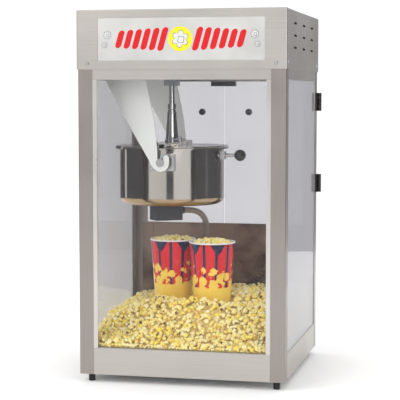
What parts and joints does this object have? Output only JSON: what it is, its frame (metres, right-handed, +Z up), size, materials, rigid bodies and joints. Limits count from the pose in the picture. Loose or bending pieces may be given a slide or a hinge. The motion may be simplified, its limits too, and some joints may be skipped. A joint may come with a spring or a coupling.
{
  "type": "popcorn machine",
  "caption": "Counter-top popcorn machine: glazed steel cabinet, lit sign hood, tilting driven kettle, rear doors, kernel drawer, and popcorn in buckets inside.",
  "frame": {"origin": "on the counter, under the middle of the cabinet", "axes": "+Z up, -Y the customer's side with the sign, +Y the operator's side with the doors, +X to the customer's right"},
  "size_m": [0.628, 0.6224, 1.068],
  "materials": {
    "cabinet_steel": "satin",
    "trim_steel": "satin",
    "inner_steel": "satin",
    "window_glass": "gloss",
    "door_glass": "gloss",
    "black_rubber": "matte",
    "grey_gasket": "matte",
    "heater_foil": "matte",
    "hinge_black": "satin",
    "bolt_steel": "satin",
    "sign_face": "gloss",
    "lamp_glass": "gloss",
    "bracket_zinc": "satin",
    "gearbox_grey": "matte",
    "motor_black": "satin",
    "shaft_steel": "polished",
    "switch_black": "gloss",
    "gland_nylon": "matte",
    "hanger_steel": "satin",
    "socket_dark": "matte",
    "kettle_polish": "polished",
    "heater_parts": "matte",
    "lead_sheath": "matte",
    "popcorn": "matte",
    "bucket_paper": "gloss"
  },
  "bodies": {
    "cabinet": {"bottom_rails": "cabinet_steel", "top_rails": "cabinet_steel", "corner_posts": "cabinet_steel", "glass_retainers": "trim_steel", "front_glass": "window_glass", "side_glasses": "window_glass", "window_gaskets": "grey_gasket", "base_pan": "cabinet_steel", "levelling_feet": "black_rubber", "perforated_deck": "inner_steel", "deck_heaters": "heater_foil", "rear_apron": "cabinet_steel", "drawer_runners": "inner_steel", "door_hinges": "hinge_black", "door_catch": "hinge_black", "cabinet_fasteners": "bolt_steel", "hood_shell": "cabinet_steel", "ceiling_tray": "inner_steel", "sign_panel": "sign_face", "sign_lamp": "lamp_glass", "sign_brackets": "bracket_zinc", "gearbox": "gearbox_grey", "drive_motor": "motor_black", "drive_bush": "gearbox_grey", "control_panel": "trim_steel", "switch_housings": "switch_black", "mains_gland": "gland_nylon", "front_hanger": "hanger_steel", "rear_hanger": "hanger_steel", "lead_socket": "socket_dark", "kettle_lead": "lead_sheath", "popcorn": "popcorn", "left_bucket": "bucket_paper", "right_bucket": "bucket_paper"},
    "kettle": {"kettle_pot": "kettle_polish", "kettle_bottom_cover": "kettle_polish", "kettle_heater": "heater_parts", "trunnions": "shaft_steel", "crossbar": "kettle_polish", "agitator_tower": "kettle_polish", "kettle_fasteners": "bolt_steel", "fixed_lid": "kettle_polish", "handle_rod": "kettle_polish", "handle_ball": "switch_black", "terminal_box": "socket_dark", "lead_gland": "socket_dark"},
    "lid": {"flap_lid": "kettle_polish"},
    "agitator": {"agitator": "shaft_steel"},
    "drive_shaft": {"drive_shaft": "shaft_steel"},
    "left_door": {"left_door_pane": "door_glass", "left_door_fittings": "hinge_black", "left_door_knob": "switch_black"},
    "right_door": {"right_door_pane": "door_glass", "right_door_fittings": "hinge_black", "right_door_knob": "switch_black"},
    "drawer": {"kernel_drawer": "trim_steel"},
    "motor_switch": {"motor_rocker": "switch_black"},
    "kettle_switch": {"kettle_rocker": "switch_black"},
    "warmer_switch": {"warmer_rocker": "switch_black"}
  },
  "joints": [
    {"name": "kettle_dump", "type": "hinge", "parent": "cabinet", "child": "kettle", "pos_m": [-0.089, 0, 0.631], "axis": [0, 1, 0], "range_deg": [0, 60], "deforming": ["kettle_lead"]},
    {"name": "flap_lid_hinge", "type": "hinge", "parent": "kettle", "child": "lid", "pos_m": [-0.071, 0, 0.681], "axis": [0, -1, 0], "range_deg": [0, 75]},
    {"name": "drive_spin", "type": "hinge", "parent": "cabinet", "child": "drive_shaft", "pos_m": [-0.1, 0, 0.85], "axis": [0, 0, 1], "continuous": true},
    {"name": "agitator_spin", "type": "hinge", "parent": "kettle", "child": "agitator", "pos_m": [-0.1, 0, 0.7], "axis": [0, 0, 1], "continuous": true},
    {"name": "left_door_hinge", "type": "hinge", "parent": "cabinet", "child": "left_door", "pos_m": [-0.308, 0.303, 0.677], "axis": [0, 0, 1], "range_deg": [0, 110]},
    {"name": "right_door_hinge", "type": "hinge", "parent": "cabinet", "child": "right_door", "pos_m": [0.308, 0.303, 0.677], "axis": [0, 0, -1], "range_deg": [0, 110]},
    {"name": "drawer_slide", "type": "slide", "parent": "cabinet", "child": "drawer", "axis": [0, 1, 0], "range_m": [0, 0.3]},
    {"name": "motor_switch_rock", "type": "hinge", "parent": "cabinet", "child": "motor_switch", "pos_m": [-0.066, 0.3, 0.992], "axis": [1, 0, 0], "range_deg": [0, 16]},
    {"name": "kettle_switch_rock", "type": "hinge", "parent": "cabinet", "child": "kettle_switch", "pos_m": [0, 0.3, 0.992], "axis": [1, 0, 0], "range_deg": [0, 16]},
    {"name": "warmer_switch_rock", "type": "hinge", "parent": "cabinet", "child": "warmer_switch", "pos_m": [0.066, 0.3, 0.992], "axis": [1, 0, 0], "range_deg": [0, 16]}
  ],
  "couplings": [
    {"joint": "agitator_spin", "follows": "drive_spin", "ratio": 1}
  ]
}
